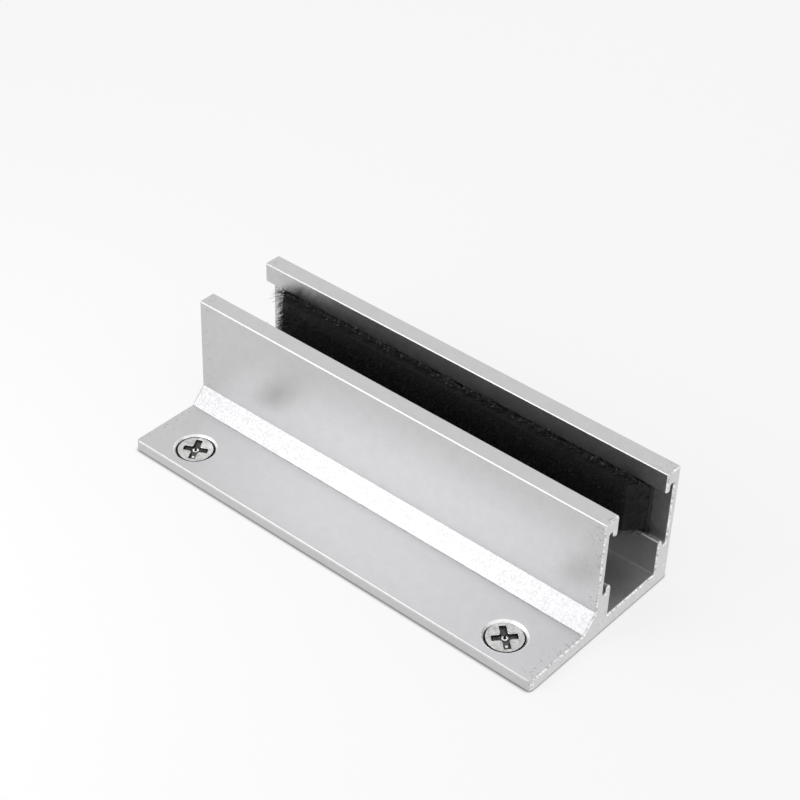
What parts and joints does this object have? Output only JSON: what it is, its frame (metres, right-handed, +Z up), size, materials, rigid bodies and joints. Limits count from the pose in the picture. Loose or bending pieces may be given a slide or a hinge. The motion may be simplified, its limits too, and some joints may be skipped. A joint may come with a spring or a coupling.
{
  "type": "sliding door floor guide",
  "caption": "Aluminium floor channel with a screw flange and a brush strip in each wall, which guides the lower edge of a sliding glass door.",
  "frame": {"origin": "on the underside, at mid length, on the centreline of the glass", "axes": "+X along the channel, +Y from the screw flange to the rear wall, +Z up, away from the floor"},
  "size_m": [0.1, 0.0416, 0.0496],
  "materials": {
    "aluminium": "satin anodised, fine blasted grain",
    "brush_backing": "woven polypropylene",
    "brush_pile": "cut polypropylene pile",
    "screw_steel": "zinc plated"
  },
  "bodies": {
    "root": {"guide_extrusion": "aluminium", "front_brush_backing": "brush_backing", "front_brush_pile": "brush_pile", "rear_brush_backing": "brush_backing", "rear_brush_pile": "brush_pile", "left_screw": "screw_steel", "right_screw": "screw_steel"}
  },
  "joints": []
}
